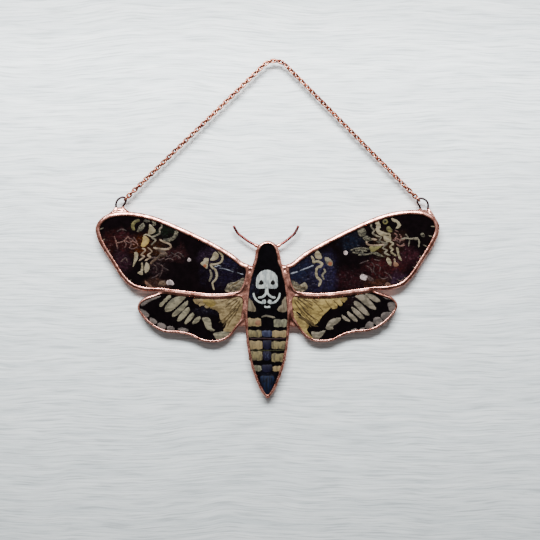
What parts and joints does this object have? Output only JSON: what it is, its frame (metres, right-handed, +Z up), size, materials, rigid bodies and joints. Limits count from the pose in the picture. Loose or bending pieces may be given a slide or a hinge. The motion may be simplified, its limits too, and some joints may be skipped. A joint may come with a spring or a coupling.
{
  "type": "stained glass hawkmoth sun catcher",
  "caption": "Flat stained glass hawkmoth of painted panes in soldered copper rims, with wire feelers, that hangs by a fine link chain from its wing tips.",
  "frame": {"origin": "top of the peg that the chain hangs over, on the middle plane of the glass", "axes": "+Z up as it hangs, -Y out of the painted front face, +X to the right as seen from the front"},
  "size_m": [0.1807, 0.0048, 0.1779],
  "materials": {
    "body_glass": "glossy, painted black with pale markings",
    "wing_glass": "glossy, painted dark brown, maroon and blue-black with pale markings",
    "hindwing_glass": "glossy, painted ochre with black bands and pale streaks",
    "copper_solder": "solder with a bright copper patina, smooth and slightly uneven",
    "copper_wire": "satin copper",
    "loop_wire": "dark patina",
    "chain_copper": "polished copper"
  },
  "bodies": {
    "root": {"body_glass": "body_glass", "forewing_glass_left": "wing_glass", "forewing_glass_right": "wing_glass", "hindwing_glass_left": "hindwing_glass", "hindwing_glass_right": "hindwing_glass", "body_rim": "copper_solder", "forewing_rim_left": "copper_solder", "forewing_rim_right": "copper_solder", "hindwing_rim_left": "copper_solder", "hindwing_rim_right": "copper_solder", "antenna_left": "copper_wire", "antenna_right": "copper_wire", "hanging_loop_left": "loop_wire", "hanging_loop_right": "loop_wire", "chain": "chain_copper"}
  },
  "joints": []
}
